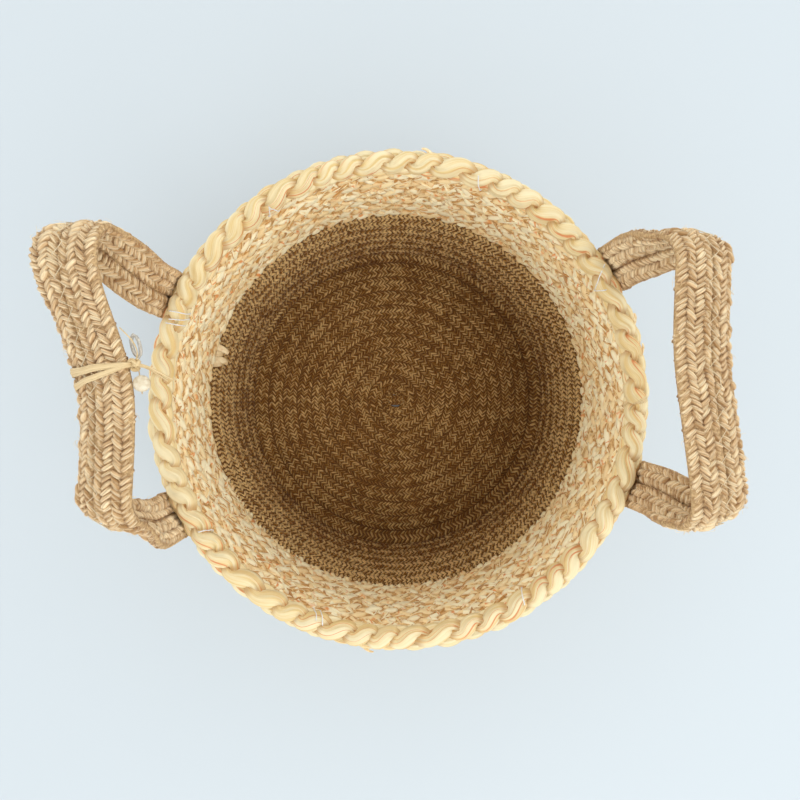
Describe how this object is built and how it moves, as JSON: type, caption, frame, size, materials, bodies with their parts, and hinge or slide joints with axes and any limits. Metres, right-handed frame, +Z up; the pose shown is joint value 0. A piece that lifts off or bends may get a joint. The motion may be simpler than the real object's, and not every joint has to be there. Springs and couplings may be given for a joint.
{
  "type": "storage basket",
  "caption": "Round coiled storage basket with a jute floor and lower wall, a corn-husk upper wall, a plaited rim and jute strap handles that tilt.",
  "frame": {"origin": "centre of the underside of the floor, on the surface that the basket stands on", "axes": "+Z up, +X towards the right handle of the picture, +Y away from a person who holds one handle in each hand"},
  "size_m": [0.2875, 0.2602, 0.2309],
  "materials": {
    "jute_coil": "coarse matt jute braid, golden brown",
    "husk_coil": "matt to silky corn husk, pale straw with reddish streaks",
    "rim_plait": "smooth satin corn husk, pale cream",
    "jute_strap": "coarse matt jute braid, light brown",
    "raffia": "smooth satin raffia",
    "bead": "smooth pale bead",
    "thread": "twisted grey thread"
  },
  "bodies": {
    "root": {"jute_floor_coil": "jute_coil", "jute_wall_coil": "jute_coil", "husk_wall_coil": "husk_coil", "rim_plait_strand_1": "rim_plait", "rim_plait_strand_2": "rim_plait", "rim_plait_strand_3": "rim_plait", "right_leg_a_outer_braid": "jute_strap", "right_leg_a_inner_braid": "jute_strap", "right_leg_b_outer_braid": "jute_strap", "right_leg_b_inner_braid": "jute_strap", "left_leg_a_outer_braid": "jute_strap", "left_leg_a_inner_braid": "jute_strap", "left_leg_b_outer_braid": "jute_strap", "left_leg_b_inner_braid": "jute_strap"},
    "right_handle": {"right_grip_outer_braid": "jute_strap", "right_grip_inner_braid": "jute_strap"},
    "left_handle": {"left_grip_outer_braid": "jute_strap", "left_grip_inner_braid": "jute_strap", "left_grip_tie": "raffia", "left_grip_tie_bead": "bead", "left_grip_tie_thread": "thread"}
  },
  "joints": [
    {"name": "right_handle_tilt", "type": "hinge", "parent": "root", "child": "right_handle", "pos_m": [0.11956, 0.01257, 0.16698], "axis": [-0.1045, 0.9945, 0], "range_deg": [-65, 90]},
    {"name": "left_handle_tilt", "type": "hinge", "parent": "root", "child": "left_handle", "pos_m": [-0.12019, -0.00252, 0.16698], "axis": [0.0209, -0.9998, 0], "range_deg": [-65, 90]}
  ]
}
